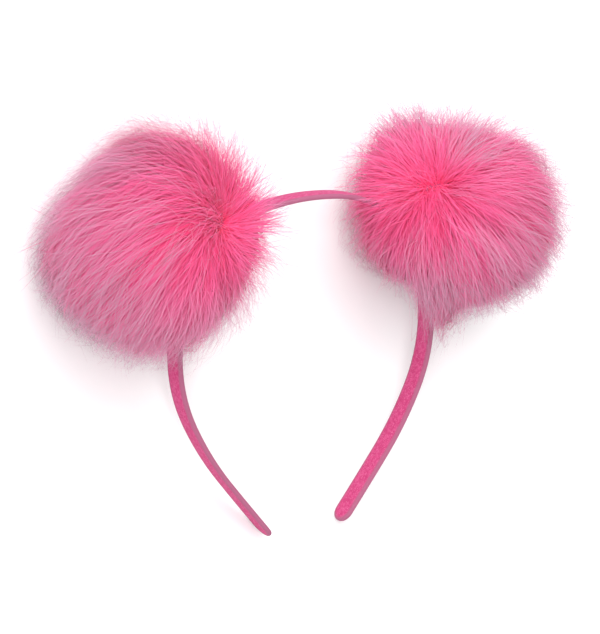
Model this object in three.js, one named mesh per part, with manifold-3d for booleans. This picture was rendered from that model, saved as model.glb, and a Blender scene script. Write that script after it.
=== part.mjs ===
// A pompom headband: a fabric covered band bent to an open arch, with a long-haired pompom tied on
// each shoulder. It lies on its back, on both tips and both pompoms, with its front face up.
//
// Units are millimetres. The parts are made in the band's own frame, with X across the arch, Y from
// the tips up to the crown and Z out of the front face. One group then leans them back to rest on
// z = 0, where X stays across, Y runs from the tips to the crown and Z is up.

import * as THREE from "three";
import { mergeVertices } from "three/addons/utils/BufferGeometryUtils.js";
import Module from "manifold-3d";

const wasm = await Module();
wasm.setup();

// Band
const bandHalfLength = 187.4;
const bandWidth = 10;
const bandThickness = 2;
const bandRings = 61;
const tipRings = 4;
const tipSweep = THREE.MathUtils.degToRad(76);
const edgeSegments = 2;

// The route of one half of the band, from the middle of the crown to the tip: how much of the half
// length each stretch takes, and how many degrees it turns.
const stretches = [
  { name: "crown", share: 0.087, turn: 8.7 },
  { name: "shoulder", share: 0.263, turn: 57 },
  { name: "side", share: 0.31, turn: 49.5 },
  { name: "leg", share: 0.166, turn: 12.8 },
  { name: "tip", share: 0.174, turn: 1.1 },
];

// Pompoms
const leftReach = 46.3;
const rightReach = 44.7;
const leftCore = 21;
const rightCore = 20.2;
const leftSeat = 57;
const rightSeat = 62.5;
const settling = 2.4;
const massShare = 0.83;
const massDetail = 4;
const soleShare = 0.24;
const cutterShare = 4;

// Locks of fur
const lockCount = 72;
const lockWidth = 14.5;
const lockThickness = 6;
const lockSides = 5;
const lockRings = 4;
const lockLean = THREE.MathUtils.degToRad(54);
const crownLean = THREE.MathUtils.degToRad(26);
const swirl = THREE.MathUtils.degToRad(14);
const layDown = 1.25;
const rootShare = 0.64;
const lockSwell = 1.7;
const reachSpread = 0.11;
const leanSpread = 1 / 3;

// Ties and fits
const tieCord = 1.4;
const tieWidth = 3;
const knotRadius = 2.2;
const knotLength = 7;
const knotSides = 12;
const clearance = 0.3;
const steepestTilt = THREE.MathUtils.degToRad(60);
const tiltHalvings = 40;

// Where the fur parts or bulges: a direction from the middle of the pompom, how much further than
// its reach the fur goes there, and over how many degrees.
const leftSwells = [
  { x: -0.55, y: 0.62, z: -0.56, further: -0.1, spread: 24 },
  { x: 0.66, y: 0.7, z: 0.28, further: 0.05, spread: 34 },
  { x: 0.54, y: -0.62, z: 0.56, further: -0.11, spread: 26 },
  { x: -0.24, y: -0.95, z: 0.12, further: 0.05, spread: 30 },
];
const rightSwells = [
  { x: -0.54, y: -0.78, z: -0.09, further: -0.12, spread: 30 },
  { x: -0.42, y: 0.74, z: -0.53, further: 0.06, spread: 28 },
  { x: 0.18, y: 0.95, z: -0.24, further: -0.06, spread: 22 },
  { x: 0.84, y: 0.05, z: 0.54, further: 0.04, spread: 34 },
];

// Where the hair parts and lies away from, as a direction from the middle of each pompom.
const leftWhorl = new THREE.Vector3(0.1, 0.38, 0.92).normalize();
const rightWhorl = new THREE.Vector3(-0.5, 0.54, 0.67).normalize();

const finishes = {
  fabric: { color: 0xd8709a, roughness: 0.85 },
  fur: { color: 0xea6a96, roughness: 0.9 },
  cord: { color: 0xd8608c, roughness: 0.8 },
};
const goldenAngle = Math.PI * (3 - Math.sqrt(5));
const goldenShare = (Math.sqrt(5) - 1) / 2;

// A point of the band's centre line, at a distance from the middle of the crown that is negative on
// the left, with the way the band runs there and the way out of the arch.
function alongRoute(distance) {
  const side = distance < 0 ? -1 : 1;
  let left = Math.abs(distance);
  let turned = 0;
  let x = 0;
  let y = 0;
  for (const [index, stretch] of stretches.entries()) {
    const length = stretch.share * bandHalfLength;
    const radius = length / THREE.MathUtils.degToRad(stretch.turn);
    const last = index === stretches.length - 1;
    const run = last ? left : Math.min(left, length);
    const next = turned + run / radius;
    x += radius * (Math.sin(next) - Math.sin(turned));
    y += radius * (Math.cos(next) - Math.cos(turned));
    turned = next;
    left -= run;
    if (left <= 0) break;
  }
  return {
    point: new THREE.Vector3(side * x, y, 0),
    along: new THREE.Vector3(Math.cos(turned), -side * Math.sin(turned), 0),
    outward: new THREE.Vector3(side * Math.sin(turned), Math.cos(turned), 0),
  };
}

// The frame of the band at a distance along it: X across its width, Y out of the arch, Z along it.
function bandFrame(distance) {
  const { point, along, outward } = alongRoute(distance);
  const across = new THREE.Vector3().crossVectors(outward, along);
  return new THREE.Matrix4().makeBasis(across, outward, along).setPosition(point);
}

// Moves each vertex of a geometry by a function and merges the ones that meet.
function reshape(geometry, place) {
  geometry.deleteAttribute("uv");
  geometry.deleteAttribute("normal");
  const position = geometry.attributes.position;
  const vertex = new THREE.Vector3();
  for (let i = 0; i < position.count; i += 1) {
    place(vertex.fromBufferAttribute(position, i));
    position.setXYZ(i, vertex.x, vertex.y, vertex.z);
  }
  return mergeVertices(geometry);
}

// A closed geometry as a solid that can be joined and cut.
function toSolid(geometry) {
  const merged = reshape(geometry, () => {});
  const mesh = new wasm.Mesh({
    numProp: 3,
    vertProperties: new Float32Array(merged.attributes.position.array),
    triVerts: new Uint32Array(merged.index.array),
  });
  return new wasm.Manifold(mesh);
}

// A solid as a geometry with smooth normals.
function toGeometry(solid) {
  const { vertProperties, triVerts } = solid.getMesh();
  const geometry = new THREE.BufferGeometry();
  geometry.setAttribute("position", new THREE.BufferAttribute(vertProperties, 3));
  geometry.setIndex(new THREE.BufferAttribute(triVerts, 1));
  geometry.computeVertexNormals();
  return geometry;
}

// The band: a flat section with round edges, extruded straight and then bent along its route. The
// rings close up at the tips, which are round when seen from the front.
function bandGeometry(grow) {
  const edge = bandThickness / 2 + grow;
  const flat = (bandWidth - bandThickness) / 2;
  const section = new THREE.Shape();
  section.absarc(flat, 0, edge, -Math.PI / 2, Math.PI / 2);
  section.absarc(-flat, 0, edge, Math.PI / 2, (3 * Math.PI) / 2);
  const straight = new THREE.ExtrudeGeometry(section, {
    depth: 1,
    steps: bandRings,
    bevelEnabled: false,
    curveSegments: edgeSegments,
  });
  const tipRadius = bandWidth / 2;
  const shoulder = bandHalfLength - tipRadius;
  return reshape(straight, (vertex) => {
    const ring = Math.round(vertex.z * bandRings);
    const fromEnd = Math.min(ring, bandRings - ring);
    const closing = tipSweep * Math.max(0, 1 - fromEnd / tipRings);
    const middle = (2 * (ring - tipRings)) / (bandRings - 2 * tipRings) - 1;
    const reach = shoulder + tipRadius * Math.sin(closing);
    const distance = fromEnd < tipRings ? Math.sign(middle) * reach : middle * shoulder;
    const narrowed = Math.max(0, tipRadius * Math.cos(closing) - bandThickness / 2);
    const inFlat = THREE.MathUtils.clamp(vertex.x, -flat, flat);
    vertex.set(vertex.x - inFlat + (inFlat / flat) * narrowed, vertex.y, 0);
    vertex.applyMatrix4(bandFrame(distance));
  });
}

// A tie: a loop of cord round the band, with a knot that stands out into the pompom. The filled form
// is the pocket it needs.
function tieSolid(distance, grow, filled) {
  const halfWidth = bandWidth / 2 + clearance + tieCord + grow;
  const halfHeight = bandThickness / 2 + clearance + tieCord + grow;
  const loop = rectangle(new THREE.Shape(), halfWidth, halfHeight);
  if (!filled) {
    const hole = rectangle(
      new THREE.Path(),
      bandWidth / 2 + clearance,
      bandThickness / 2 + clearance,
    );
    loop.holes.push(hole);
  }
  const depth = tieWidth + 2 * grow;
  const cord = new THREE.ExtrudeGeometry(loop, { depth, bevelEnabled: false });
  cord.translate(0, 0, -depth / 2);
  const sunk = tieCord / 2;
  const length = knotLength + grow + sunk;
  const knot = new THREE.CylinderGeometry(
    knotRadius + grow,
    knotRadius + grow,
    length,
    knotSides,
  );
  knot.translate(0, bandThickness / 2 + clearance + tieCord - sunk + length / 2, 0);
  const frame = bandFrame(distance);
  return toSolid(cord.applyMatrix4(frame)).add(toSolid(knot.applyMatrix4(frame)));
}

// A rectangle round the origin, as a shape or as a hole in one.
function rectangle(path, halfWidth, halfHeight) {
  path.moveTo(-halfWidth, -halfHeight);
  path.lineTo(halfWidth, -halfHeight);
  path.lineTo(halfWidth, halfHeight);
  path.lineTo(-halfWidth, halfHeight);
  path.closePath();
  return path;
}

// How far the fur reaches in a direction, as a share of the pompom's reach.
function swellAt(direction, swells) {
  return swells.reduce((total, swell) => {
    const middle = new THREE.Vector3(swell.x, swell.y, swell.z);
    const away = direction.angleTo(middle) / THREE.MathUtils.degToRad(swell.spread);
    return total + swell.further * Math.exp(-away * away);
  }, 1);
}

// One lock: a cone bent along an arc that leaves the fur at its root, leans away from the whorl and
// lies down towards its tip.
function lockGeometry(pompom, index) {
  const spread = Math.acos(1 - (2 * (index + 0.5)) / lockCount);
  const around = index * goldenAngle;
  const pole = new THREE.Vector3(0, 1, 0);
  const toWhorl = new THREE.Quaternion().setFromUnitVectors(pole, pompom.whorl);
  const root = new THREE.Vector3().setFromSphericalCoords(1, spread, around);
  const away = new THREE.Vector3().setFromSphericalCoords(1, spread + Math.PI / 2, around);
  root.applyQuaternion(toWhorl);
  away.applyQuaternion(toWhorl).applyAxisAngle(root, swirl);
  const side = new THREE.Vector3().crossVectors(root, away);
  const vary = ((index * goldenShare) % 1) - 0.5;
  const lean = THREE.MathUtils.lerp(crownLean, lockLean, Math.min(1, spread));
  const inner = pompom.reach * rootShare;
  const outer = pompom.reach * (1 + reachSpread * (vary - 0.5));
  const middleOf = (place) => {
    const share = THREE.MathUtils.clamp(place, 0, 1);
    const angle = lean * (1 + leanSpread * vary) * share ** layDown;
    const direction = new THREE.Vector3()
      .addScaledVector(root, Math.cos(angle))
      .addScaledVector(away, Math.sin(angle));
    const rise = Math.sin((share * Math.PI) / 2);
    const swell = swellAt(direction, pompom.swells);
    return direction.multiplyScalar(THREE.MathUtils.lerp(inner, outer * swell, rise));
  };
  const step = 0.5 / lockRings;
  return reshape(new THREE.ConeGeometry(1, 1, lockSides, lockRings), (vertex) => {
    const share = vertex.y + 0.5;
    const along = middleOf(share + step).sub(middleOf(share - step)).normalize();
    const over = new THREE.Vector3().crossVectors(side, along).normalize();
    const fuller = 1 + lockSwell * share;
    const across = (vertex.x * lockWidth * fuller) / 2;
    const deep = (vertex.z * lockThickness * fuller) / 2;
    vertex.copy(middleOf(share)).addScaledVector(side, across).addScaledVector(over, deep);
    vertex.add(pompom.middle);
  });
}

// The body of the fur that the locks grow from. Its underside settles onto what it rests on, far
// enough to leave a flat sole there.
function massGeometry(pompom, up, height) {
  const radius = pompom.reach * massShare;
  const settled = height / (radius * Math.sqrt(1 - soleShare * soleShare));
  const ball = new THREE.IcosahedronGeometry(radius, massDetail);
  return reshape(ball, (vertex) => {
    vertex.multiplyScalar(swellAt(vertex.clone().normalize(), pompom.swells));
    const below = Math.max(0, -vertex.dot(up));
    vertex.addScaledVector(up, below * (1 - settled)).add(pompom.middle);
  });
}

// The fur with its locks, less the way of the band through it, the tie's pocket and all that would
// lie under the surface it rests on.
function pompomSolid(pompom, up, floor) {
  const height = pompom.middle.dot(up) - floor;
  let fur = toSolid(massGeometry(pompom, up, height));
  for (let index = 0; index < lockCount; index += 1) {
    fur = fur.add(toSolid(lockGeometry(pompom, index)));
  }
  const size = cutterShare * pompom.reach;
  const under = new THREE.BoxGeometry(size, size, size);
  under.lookAt(up);
  under.translate(...pompom.middle.clone().addScaledVector(up, -height - size / 2).toArray());
  return fur
    .subtract(toSolid(bandGeometry(clearance)))
    .subtract(tieSolid(pompom.seat, clearance, true))
    .subtract(toSolid(under));
}

// The middle of a pompom, whose core sits against the outside of the band.
function middleOver(seat, core) {
  const { point, outward } = alongRoute(seat);
  return point.addScaledVector(outward, bandThickness / 2 + clearance + core);
}

// The way up in the band's own frame, when the headband leans back by a tilt.
function upAt(tilt) {
  return new THREE.Vector3(0, Math.sin(tilt), Math.cos(tilt));
}

// The level of the lowest vertex of a geometry along the way up.
function lowest(geometry, up) {
  const position = geometry.attributes.position;
  const vertex = new THREE.Vector3();
  let level = Infinity;
  for (let i = 0; i < position.count; i += 1) {
    level = Math.min(level, vertex.fromBufferAttribute(position, i).dot(up));
  }
  return level;
}

// The tilt at which the band's tips and a pompom reach the same level, found by halving.
function restingTilt(band, middle, height) {
  let low = 0;
  let high = steepestTilt;
  for (let i = 0; i < tiltHalvings; i += 1) {
    const tilt = (low + high) / 2;
    const above = middle.dot(upAt(tilt)) - lowest(band, upAt(tilt));
    if (above < height) low = tilt;
    else high = tilt;
  }
  return (low + high) / 2;
}

const band = bandGeometry(0);
const left = {
  reach: leftReach,
  seat: -leftSeat,
  middle: middleOver(-leftSeat, leftCore),
  whorl: leftWhorl,
  swells: leftSwells,
};
const right = {
  reach: rightReach,
  seat: rightSeat,
  middle: middleOver(rightSeat, rightCore),
  whorl: rightWhorl,
  swells: rightSwells,
};
const tilt = restingTilt(band, left.middle, leftReach - settling);
const up = upAt(tilt);
const floor = lowest(band, up);
right.middle.z = (rightReach - settling + floor - right.middle.dot(up)) / up.z;

// A named mesh with a material of its own.
function part(name, geometry, finish) {
  const material = new THREE.MeshStandardMaterial({ ...finish, metalness: 0 });
  const mesh = new THREE.Mesh(geometry, material);
  mesh.name = name;
  return mesh;
}

const lying = new THREE.Group();
lying.rotation.x = tilt;
lying.add(part("band", band, finishes.fabric));
lying.add(part("pompom_left", toGeometry(pompomSolid(left, up, floor)), finishes.fur));
lying.add(part("pompom_right", toGeometry(pompomSolid(right, up, floor)), finishes.fur));
lying.add(part("tie_left", toGeometry(tieSolid(left.seat, 0, false)), finishes.cord));
lying.add(part("tie_right", toGeometry(tieSolid(right.seat, 0, false)), finishes.cord));

// The origin is under the middle of the whole headband, on the surface it rests on.
const headband = new THREE.Group();
headband.name = "pompom_headband";
headband.add(lying);
headband.updateMatrixWorld(true);
const box = new THREE.Box3().setFromObject(headband, true);
const centre = box.getCenter(new THREE.Vector3());
lying.position.set(-centre.x, -centre.y, -box.min.z);

export default headband;
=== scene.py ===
"""A pompom headband: a velvet covered band and two long-haired pompoms, lying on its back."""

import logging  # noqa: E402
import math  # noqa: E402
from dataclasses import dataclass, field  # noqa: E402
from enum import Enum  # noqa: E402
from typing import Any, Callable, NamedTuple  # noqa: E402

import bpy  # noqa: E402
import numpy as np  # noqa: E402
from mathutils import Matrix, Vector  # noqa: E402


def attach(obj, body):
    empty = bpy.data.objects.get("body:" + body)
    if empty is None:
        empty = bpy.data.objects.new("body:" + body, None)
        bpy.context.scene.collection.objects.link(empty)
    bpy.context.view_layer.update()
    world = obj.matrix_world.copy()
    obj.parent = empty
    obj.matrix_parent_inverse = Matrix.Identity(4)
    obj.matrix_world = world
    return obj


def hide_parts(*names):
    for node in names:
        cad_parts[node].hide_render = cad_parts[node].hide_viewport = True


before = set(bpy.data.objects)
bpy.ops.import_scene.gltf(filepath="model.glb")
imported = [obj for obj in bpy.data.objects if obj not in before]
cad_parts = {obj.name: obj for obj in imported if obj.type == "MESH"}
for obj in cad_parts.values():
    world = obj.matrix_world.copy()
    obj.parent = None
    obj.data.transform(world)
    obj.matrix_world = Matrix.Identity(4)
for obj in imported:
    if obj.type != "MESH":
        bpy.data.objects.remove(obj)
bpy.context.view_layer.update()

log = logging.getLogger("headband")

Colour = tuple[float, float, float]
Direction = tuple[float, float, float]
Span = tuple[float, float]

MM = 0.001
BAND_WIDTH = 10.0
BAND_THICKNESS = 2.0
FUR_MAP = "OFBake"
CLOTH_MAP = "cloth"
HAIRS_AT_A_TIME = 4000
POINTS_AT_A_TIME = 40000


# Shader maths and nodes


class Shade:
    """A shader socket that adds Math nodes when it is used in an expression."""

    def __init__(self, nodes: "Nodes", socket: bpy.types.NodeSocket) -> None:
        """Keeps the socket with the tree that it belongs to."""
        self.nodes = nodes
        self.socket = socket

    def _maths(self, operation: str, first: Any, second: Any) -> "Shade":
        """Adds one Math node for two values or links."""
        return self.nodes.add("ShaderNodeMath", {"operation": operation}, {0: first, 1: second})

    def __add__(self, other: Any) -> "Shade":
        """This plus another."""
        return self._maths("ADD", self, other)

    def __sub__(self, other: Any) -> "Shade":
        """This minus another."""
        return self._maths("SUBTRACT", self, other)

    def __rsub__(self, other: Any) -> "Shade":
        """Another minus this."""
        return self._maths("SUBTRACT", other, self)

    def __mul__(self, other: Any) -> "Shade":
        """This times another."""
        return self._maths("MULTIPLY", self, other)

    def __abs__(self) -> "Shade":
        """Its size without its sign."""
        return self._maths("ABSOLUTE", self, 0.0)

    def at_least(self, least: float) -> "Shade":
        """This, or the least value where it is smaller."""
        return self._maths("MAXIMUM", self, least)

    __radd__ = __add__
    __rmul__ = __mul__


class Nodes:
    """The node tree of one material, with its Principled shader."""

    def __init__(self, name: str) -> None:
        """Makes the material and finds its shader."""
        self.material = bpy.data.materials.new(name)
        self.material.use_nodes = True
        self.tree = self.material.node_tree
        self.shader = self.tree.nodes["Principled BSDF"]

    def add(
        self,
        kind: str,
        settings: dict[str, Any] | None = None,
        inputs: dict[int | str, Any] | None = None,
        output: int | str = 0,
    ) -> Shade:
        """Adds a node.

        Args:
            kind: The node's type.
            settings: Its own settings; "stops" holds a ramp's positions and colours.
            inputs: The values or links of its sockets, by name or number.
            output: The output that is wanted.

        Returns:
            That output as a Shade.
        """
        node = self.tree.nodes.new(kind)
        for name, value in (settings or {}).items():
            if name == "stops":
                ramp = node.color_ramp.elements
                while len(ramp) < len(value):
                    ramp.new(0.5)
                for stop, (position, colour) in zip(ramp, value):
                    stop.position = position
                    stop.color = (*colour, 1.0)
            else:
                setattr(node, name, value)
        for name, value in (inputs or {}).items():
            self.put(node.inputs[name], value)
        return Shade(self, node.outputs[output])

    def put(self, socket: bpy.types.NodeSocket, value: Any) -> None:
        """Links a socket, or sets its value.

        Args:
            socket: The socket.
            value: A Shade to link, or a number, a colour or a vector to set.
        """
        if isinstance(value, Shade):
            self.tree.links.new(value.socket, socket)
        elif isinstance(value, tuple) and len(value) == 3 and socket.type == "RGBA":
            socket.default_value = (*value, 1.0)
        else:
            socket.default_value = value

    def dress(self, inputs: dict[str, Any]) -> bpy.types.Material:
        """Sets the sockets of the Principled shader.

        Args:
            inputs: The values or links, by the sockets' names.

        Returns:
            The finished material.
        """
        for name, value in inputs.items():
            self.put(self.shader.inputs[name], value)
        return self.material

    def mix(self, factor: Any, first: Any, second: Any) -> Shade:
        """Mixes two colours by a factor."""
        inputs = {0: factor, 6: first, 7: second}
        return self.add("ShaderNodeMix", {"data_type": "RGBA"}, inputs, 2)

    def ramp(self, value: Shade, span: Span) -> Shade:
        """Takes a value from 0 at the span's beginning to 1 at its end, smoothly."""
        inputs = {"Value": value, "From Min": span[0], "From Max": span[1]}
        return self.add("ShaderNodeMapRange", {"interpolation_type": "SMOOTHSTEP"}, inputs)

    def noise(self, scale: float, detail: float) -> Shade:
        """A noise value over the object's own coordinates."""
        place = self.add("ShaderNodeTexCoord", output="Object")
        inputs = {"Vector": place, "Scale": scale, "Detail": detail}
        return self.add("ShaderNodeTexNoise", {}, inputs)

    def bump(self, height: Shade, distance: float, strength: float) -> Shade:
        """A normal from a height."""
        inputs = {"Height": height, "Distance": distance, "Strength": strength}
        return self.add("ShaderNodeBump", {}, inputs)

    def map_place(self, name: str) -> tuple[Shade, Shade]:
        """Reads one of the piece's own maps.

        Args:
            name: The map's name.

        Returns:
            The first and the second coordinate.
        """
        place = self.add("ShaderNodeUVMap", {"uv_map": name})
        first = self.add("ShaderNodeSeparateXYZ", {}, {0: place}, "X")
        return first, self.add("ShaderNodeSeparateXYZ", {}, {0: place}, "Y")


@dataclass(frozen=True)
class FurFinish:
    """Long synthetic hair: deep at the root, clear in the middle and pale at the tip.

    The hair's own map holds each hair's tone, from deep to pale, and the way along it from root
    to tip. The tone holds painted light as well as the hair's own tone: paler where light is
    painted, deeper where shade is painted. A span gives where on the map a change begins and
    where it is complete.
    """

    root: Colour = (0.9, 0.038, 0.155)
    middle: Colour = (0.84, 0.112, 0.31)
    tip: Colour = (0.72, 0.18, 0.375)
    deep: Colour = (0.9, 0.058, 0.215)
    pale: Colour = (0.67, 0.3, 0.46)
    ash: Colour = (0.52, 0.29, 0.39)
    middle_part: Span = (0.5, 0.78)
    outer_part: Span = (0.15, 0.85)
    deep_tones: Span = (0.5, 0.0)
    pale_tones: Span = (0.45, 0.9)
    ash_tones: Span = (0.84, 1.0)
    pale_share: float = 0.9
    roughness: float = 0.65
    specular: float = 0.25
    sheen: float = 0.15
    sheen_roughness: float = 0.5

    def build(self, name: str) -> bpy.types.Material:
        """Makes the material.

        Args:
            name: The material's name.

        Returns:
            The material, which reads the hair's map.
        """
        nodes = Nodes(name)
        tone, along = nodes.map_place(FUR_MAP)
        clear = [(place, self.middle) for place in self.middle_part]
        stops = [(0.0, self.root), *clear, (1.0, self.tip)]
        hair = nodes.add("ShaderNodeValToRGB", {"stops": stops}, {0: along})
        outer = nodes.ramp(along, self.outer_part)
        deepened = nodes.mix(nodes.ramp(tone, self.deep_tones), hair, self.deep)
        paling = nodes.ramp(tone, self.pale_tones) * outer * self.pale_share
        paled = nodes.mix(paling, deepened, self.pale)
        return nodes.dress(
            {
                "Base Color": nodes.mix(nodes.ramp(tone, self.ash_tones) * outer, paled, self.ash),
                "Roughness": self.roughness,
                "Specular IOR Level": self.specular,
                "Sheen Weight": self.sheen,
                "Sheen Roughness": self.sheen_roughness,
            }
        )


@dataclass(frozen=True)
class VelvetFinish:
    """Short napped fabric stretched over the band: dark where it turns round, with pale specks.

    The cloth's own map counts band widths along the strip and across it. A span gives where a
    change begins and where it is complete. The darkening where the cloth turns round its edges
    and tips is a painted shade.
    """

    tip_centre: float
    pile: Colour = (0.5, 0.042, 0.16)
    rubbed: Colour = (0.6, 0.08, 0.23)
    speck: Colour = (0.74, 0.26, 0.43)
    # painted shade: the colour that the rounded edges and tips are darkened to
    edge: Colour = (0.36, 0.12, 0.2)
    mottle_scale: float = 700.0
    mottle_detail: float = 3.0
    grain_scale: float = 2600.0
    grain_detail: float = 1.0
    rubbed_patches: Span = (0.35, 0.7)
    speck_patches: Span = (0.55, 0.75)
    speck_share: float = 0.6
    edge_shade_part: Span = (0.36, 0.52)
    edge_shade_share: float = 0.9
    edge_shade_waver: float = 0.12
    nap_depth: float = 0.0003
    nap_strength: float = 0.7
    roughness: float = 0.85
    specular: float = 0.1
    sheen: float = 0.06
    sheen_roughness: float = 0.4

    def build(self, name: str) -> bpy.types.Material:
        """Makes the material, with a painted shade towards the rim of the strip and round its tips.

        Args:
            name: The material's name.

        Returns:
            The material, which reads the cloth's map and the object's own coordinates.
        """
        nodes = Nodes(name)
        along, across = nodes.map_place(CLOTH_MAP)
        past_centre = (abs(along) - self.tip_centre).at_least(0.0)
        off = nodes.add("ShaderNodeCombineXYZ", {}, {"X": past_centre, "Y": across})
        from_middle = nodes.add("ShaderNodeVectorMath", {"operation": "LENGTH"}, {0: off}, "Value")
        mottle = nodes.noise(self.mottle_scale, self.mottle_detail)
        grain = nodes.noise(self.grain_scale, self.grain_detail)
        nap = nodes.mix(nodes.ramp(mottle, self.rubbed_patches), self.pile, self.rubbed)
        specks = nodes.ramp(grain, self.speck_patches) * self.speck_share
        specked = nodes.mix(specks, nap, self.speck)
        # painted shade: darker towards the rounded rim and tips, where the cloth turns from the
        # light
        turned = nodes.ramp(from_middle + mottle * self.edge_shade_waver, self.edge_shade_part)
        colour = nodes.mix(turned * self.edge_shade_share, specked, self.edge)
        height = mottle * 0.5 + grain * 0.5
        return nodes.dress(
            {
                "Base Color": colour,
                "Roughness": self.roughness,
                "Specular IOR Level": self.specular,
                "Sheen Weight": self.sheen,
                "Sheen Roughness": self.sheen_roughness,
                "Normal": nodes.bump(height, self.nap_depth, self.nap_strength),
            }
        )


@dataclass(frozen=True)
class BackingFinish:
    """The knitted backing that the hair grows from, gathered round the stuffing."""

    light: Colour = (0.6, 0.07, 0.2)
    dark: Colour = (0.42, 0.03, 0.12)
    knit_scale: float = 900.0
    knit_depth: float = 0.0004
    knit_strength: float = 0.7
    roughness: float = 0.9

    def build(self, name: str) -> bpy.types.Material:
        """Makes the material on the object's own coordinates.

        Args:
            name: The material's name.

        Returns:
            The material.
        """
        nodes = Nodes(name)
        knit = nodes.noise(self.knit_scale, 1.0)
        return nodes.dress(
            {
                "Base Color": nodes.mix(knit, self.dark, self.light),
                "Roughness": self.roughness,
                "Normal": nodes.bump(knit, self.knit_depth, self.knit_strength),
            }
        )


@dataclass(frozen=True)
class CordFinish:
    """Twisted cord, darker between its strands."""

    colour: Colour = (0.6, 0.1, 0.26)
    shadow: float = 0.6
    twist_scale: float = 900.0
    twist_depth: float = 0.0002
    twist_strength: float = 0.6
    roughness: float = 0.8

    def build(self, name: str) -> bpy.types.Material:
        """Makes the material on the object's own coordinates.

        Args:
            name: The material's name.

        Returns:
            The material.
        """
        nodes = Nodes(name)
        place = nodes.add("ShaderNodeTexCoord", output="Object")
        settings = {"wave_type": "BANDS", "bands_direction": "DIAGONAL"}
        inputs = {"Vector": place, "Scale": self.twist_scale}
        twist = nodes.add("ShaderNodeTexWave", settings, inputs)
        dark = tuple(self.shadow * part for part in self.colour)
        return nodes.dress(
            {
                "Base Color": nodes.mix(twist, dark, self.colour),
                "Roughness": self.roughness,
                "Normal": nodes.bump(twist, self.twist_depth, self.twist_strength),
            }
        )


@dataclass(frozen=True)
class FloorFinish:
    """A plain pale studio floor."""

    pale: Colour = (0.93, 0.93, 0.93)
    paler: Colour = (0.95, 0.95, 0.95)
    cloud_scale: float = 3.0
    roughness: float = 0.9
    specular: float = 0.1

    def build(self, name: str) -> bpy.types.Material:
        """Makes the material on the object's own coordinates.

        Args:
            name: The material's name.

        Returns:
            The material.
        """
        nodes = Nodes(name)
        return nodes.dress(
            {
                "Base Color": nodes.mix(nodes.noise(self.cloud_scale, 2.0), self.pale, self.paler),
                "Roughness": self.roughness,
                "Specular IOR Level": self.specular,
            }
        )


# Where the headband lies and how its band runs


class Stretch(NamedTuple):
    """A part of the band with one even bend.

    The share is of half the band's length, and the turn is in degrees.
    """

    share: float
    turn: float


@dataclass
class Route:
    """The band's centre line in its own plane, from tip to tip, in millimetres.

    The stretches of a half are the crown, the shoulder, the side, the leg and the tip.
    """

    half_length: float = 187.4
    stretches: tuple[Stretch, ...] = (
        Stretch(0.087, 8.7),
        Stretch(0.263, 57.0),
        Stretch(0.31, 49.5),
        Stretch(0.166, 12.8),
        Stretch(0.174, 1.1),
    )
    step: float = 0.25
    distance: np.ndarray = field(init=False)
    turned: np.ndarray = field(init=False)
    x: np.ndarray = field(init=False)
    y: np.ndarray = field(init=False)

    def __post_init__(self) -> None:
        """Works out one half, which the other mirrors."""
        count = int(self.half_length / self.step) + 1
        self.distance = np.linspace(0.0, self.half_length, count)
        shares = np.cumsum([0.0] + [part.share for part in self.stretches]) * self.half_length
        turns = np.radians(np.cumsum([0.0] + [part.turn for part in self.stretches]))
        self.turned = np.interp(self.distance, shares, turns)
        middle = (self.turned[1:] + self.turned[:-1]) / 2
        run = np.diff(self.distance)
        self.x = np.concatenate([[0.0], np.cumsum(np.cos(middle) * run)])
        self.y = np.concatenate([[0.0], -np.cumsum(np.sin(middle) * run)])

    def at(self, distance: np.ndarray) -> tuple[np.ndarray, np.ndarray]:
        """The points and the ways out of the arch at signed distances from the crown.

        Args:
            distance: Distances along the band, negative on the left.

        Returns:
            Points and unit vectors, each with two columns.
        """
        side = np.where(distance < 0, -1.0, 1.0)
        far = np.abs(distance)
        x = side * np.interp(far, self.distance, self.x)
        y = np.interp(far, self.distance, self.y)
        turned = np.interp(far, self.distance, self.turned)
        out = np.stack([side * np.sin(turned), np.cos(turned)], axis=-1)
        return np.stack([x, y], axis=-1), out


@dataclass
class Rest:
    """How the headband leans on the floor: from the band's own frame to the scene."""

    tilt: float
    origin: np.ndarray

    @classmethod
    def of_band(cls, node: bpy.types.Object) -> "Rest":
        """Reads the lean and the crown's place from the band's solid.

        Args:
            node: The band's solid.

        Returns:
            The rest.
        """
        points = np.array([node.matrix_world @ v.co for v in node.data.vertices]) / MM
        normal = np.linalg.svd(points - points.mean(0), full_matrices=False)[2][2]
        normal = normal * np.sign(normal[2])
        tilt = math.atan2(-normal[1], normal[2])
        axes = cls(tilt, np.zeros(3)).axes()
        local = points @ axes
        middle = (local.max(0) + local.min(0)) / 2
        middle[1] = local[:, 1].max() - BAND_THICKNESS / 2
        return cls(tilt, axes @ middle)

    def axes(self) -> np.ndarray:
        """The band's own X, Y and Z as columns."""
        c, s = math.cos(self.tilt), math.sin(self.tilt)
        return np.array([[1, 0, 0], [0, c, -s], [0, s, c]], dtype=float)

    def place(self, points: np.ndarray) -> np.ndarray:
        """Points of the band's own frame in the scene, still in millimetres."""
        return points @ self.axes().T + self.origin


def only(piece: bpy.types.Object) -> None:
    """Leaves one object selected and active.

    Args:
        piece: The object.
    """
    bpy.ops.object.select_all(action="DESELECT")
    piece.select_set(True)
    bpy.context.view_layer.objects.active = piece


def pick_edges(piece: bpy.types.Object, test: Callable[[Vector, Vector], bool]) -> None:
    """Enters edit mode with only the edges picked that pass a test.

    Args:
        piece: The object, which is the active one.
        test: What says of an edge's two ends whether it is picked.
    """
    bpy.ops.object.mode_set(mode="EDIT")
    bpy.ops.mesh.select_mode(type="EDGE")
    bpy.ops.mesh.select_all(action="DESELECT")
    bpy.ops.object.mode_set(mode="OBJECT")
    mesh = piece.data
    for edge in mesh.edges:
        edge.select = test(*(mesh.vertices[i].co for i in edge.vertices))
    bpy.ops.object.mode_set(mode="EDIT")


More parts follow.
